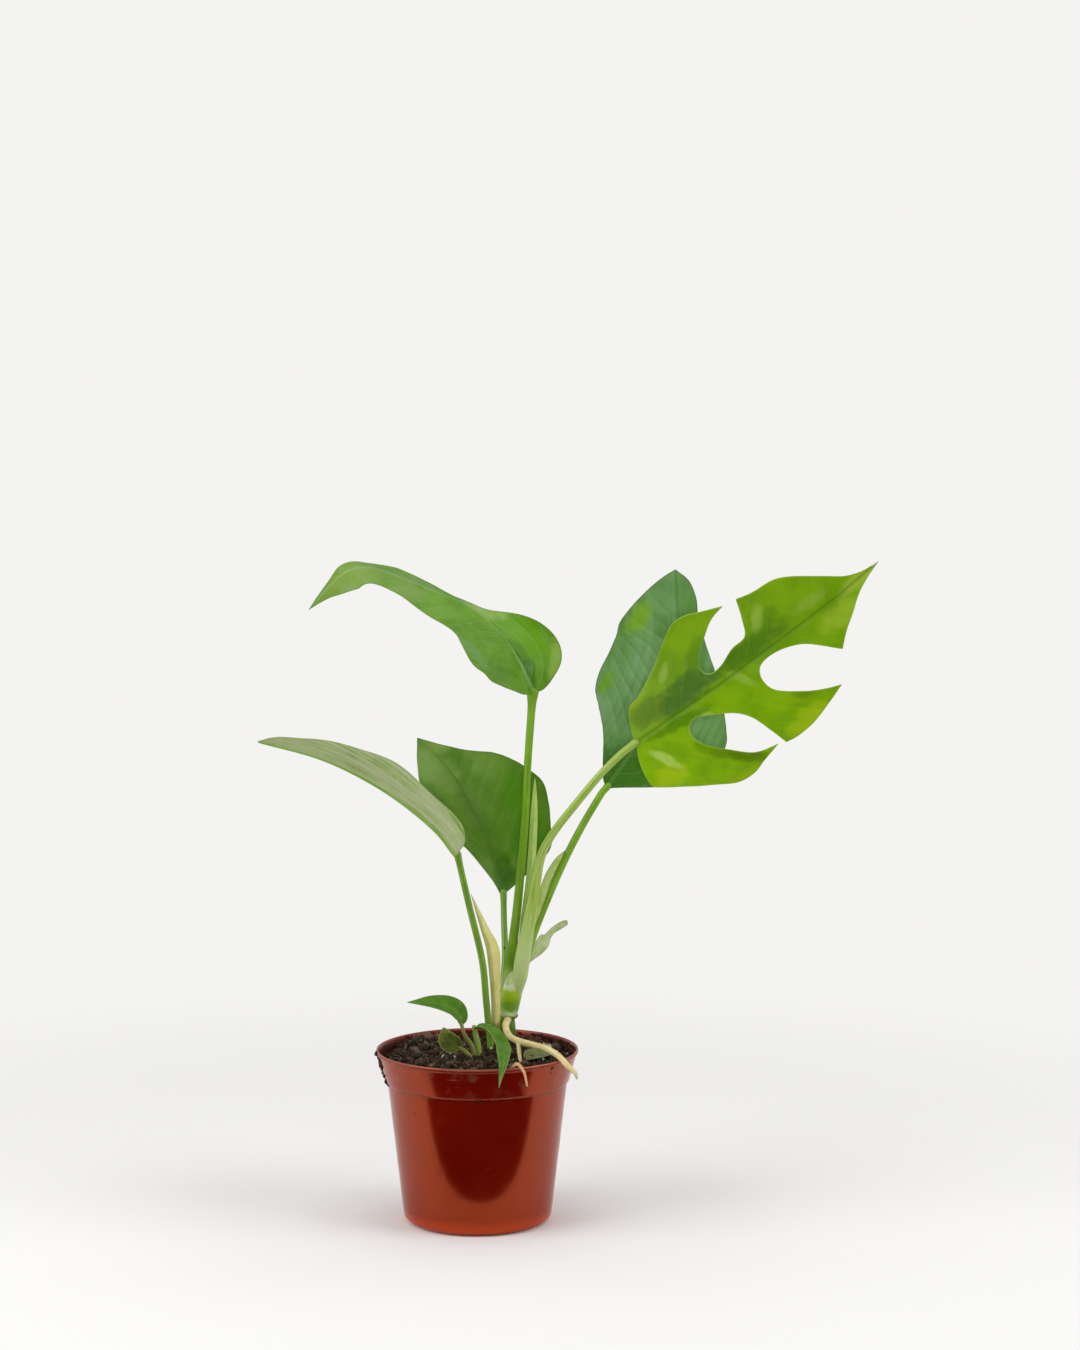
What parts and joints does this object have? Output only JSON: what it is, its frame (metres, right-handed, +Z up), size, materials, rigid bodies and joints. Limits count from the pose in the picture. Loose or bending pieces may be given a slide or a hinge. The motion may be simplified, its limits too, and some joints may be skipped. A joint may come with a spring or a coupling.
{
  "type": "potted mini monstera",
  "caption": "Small climbing aroid house plant with large split and entire leaves, young shoots and an aerial root, in a round nursery pot.",
  "frame": {"origin": "centre of the pot's underside, on the surface it stands on", "axes": "+Z up, +X to the right and +Y away from the viewer as seen in the picture"},
  "size_m": [0.3577, 0.1464, 0.3956],
  "materials": {
    "pot_plastic": "glossy red-brown moulded plastic with dust and peat specks",
    "peat": "dark crumbly peat with white perlite",
    "stem_green": "smooth green stem with pale ring scars",
    "stalk_green": "smooth satin green stalk",
    "sheath_cream": "dry papery cream sheath",
    "sheath_green": "thin pale green sheath",
    "leaf_young": "glossy bright yellow-green blade with fine side veins",
    "leaf_mature": "satin mid-green blade, paler below",
    "leaf_blue": "satin bluish green blade with streaky sheen",
    "root_beige": "matt beige root",
    "bract_dry": "dry pale bract",
    "leaf_olive": "fading olive leaf"
  },
  "bodies": {
    "root": {"pot": "pot_plastic", "soil": "peat", "stem": "stem_green", "petiole_top_left": "stalk_green", "petiole_low_left": "stalk_green", "petiole_split": "stalk_green", "petiole_right_back": "stalk_green", "petiole_back": "stalk_green", "sheath_top_left": "sheath_green", "sheath_low_left": "sheath_cream", "sheath_right_back": "sheath_green", "dry_bract": "bract_dry", "leaf_split": "leaf_young", "leaf_right_back": "leaf_blue", "leaf_back": "leaf_mature", "leaf_top_left": "leaf_mature", "leaf_low_left": "leaf_mature", "shoot_left_stalk": "stalk_green", "shoot_low_stalk": "stalk_green", "shoot_front_stalk": "stalk_green", "shoot_left_leaf": "leaf_mature", "shoot_low_leaf": "leaf_mature", "shoot_front_leaf": "leaf_mature", "fallen_leaf": "leaf_olive", "aerial_root": "root_beige", "side_root": "root_beige"}
  },
  "joints": []
}
